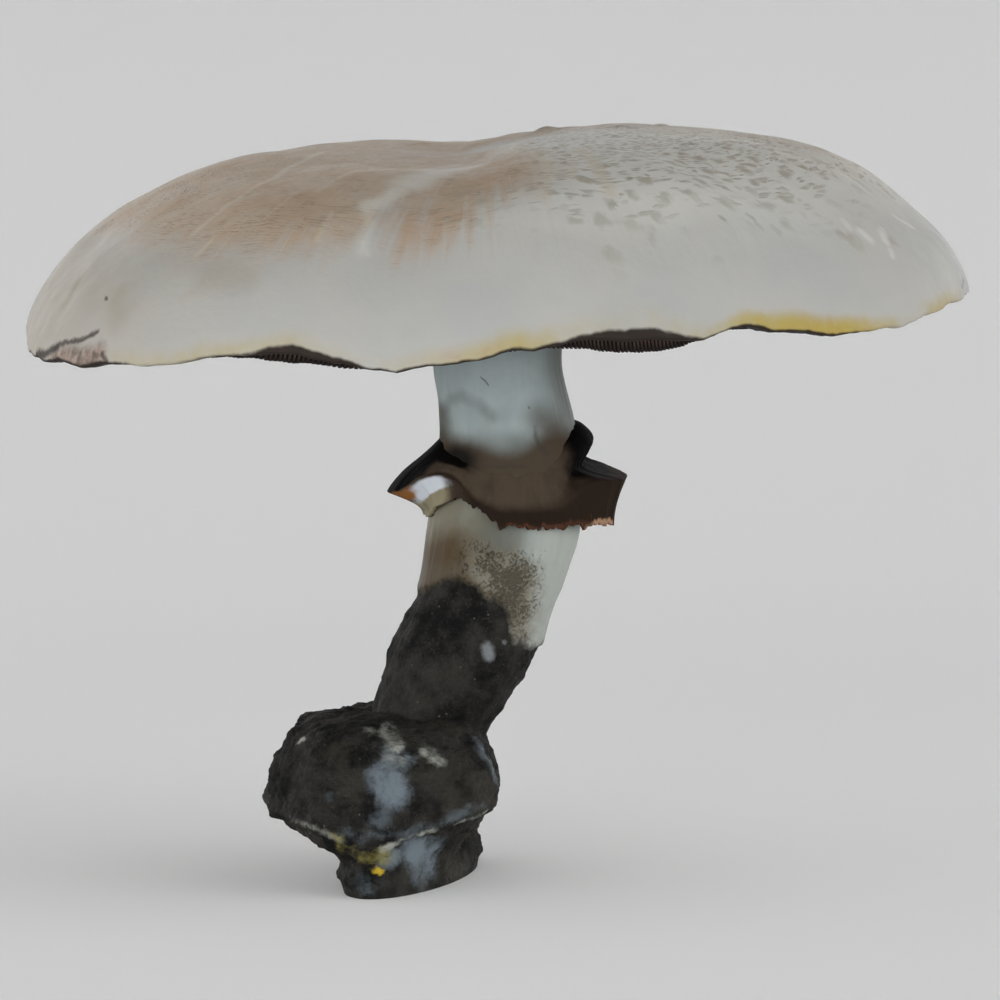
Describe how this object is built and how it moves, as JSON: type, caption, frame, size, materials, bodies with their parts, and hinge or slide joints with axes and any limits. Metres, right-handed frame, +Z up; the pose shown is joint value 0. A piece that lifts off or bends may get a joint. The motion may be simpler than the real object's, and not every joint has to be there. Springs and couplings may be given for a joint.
{
  "type": "prince mushroom",
  "caption": "Large picked mushroom with a broad domed cap, free gills, a torn ring and a leaning stem, standing on a clod of soil.",
  "frame": {"origin": "the middle of the flat patch under the soil clod, on the surface that the mushroom stands on", "axes": "+Z up, +X along the cap's widest line towards its pointed end, which is also the way the stem leans"},
  "size_m": [0.1999, 0.1921, 0.1584],
  "materials": {
    "skin": "matte",
    "gills": "matte",
    "flesh": "matte",
    "veil": "matte",
    "soil": "matte"
  },
  "bodies": {
    "root": {"cap": "skin", "gills": "gills", "stem": "flesh", "ring": "veil", "soil_clod": "soil"}
  },
  "joints": []
}
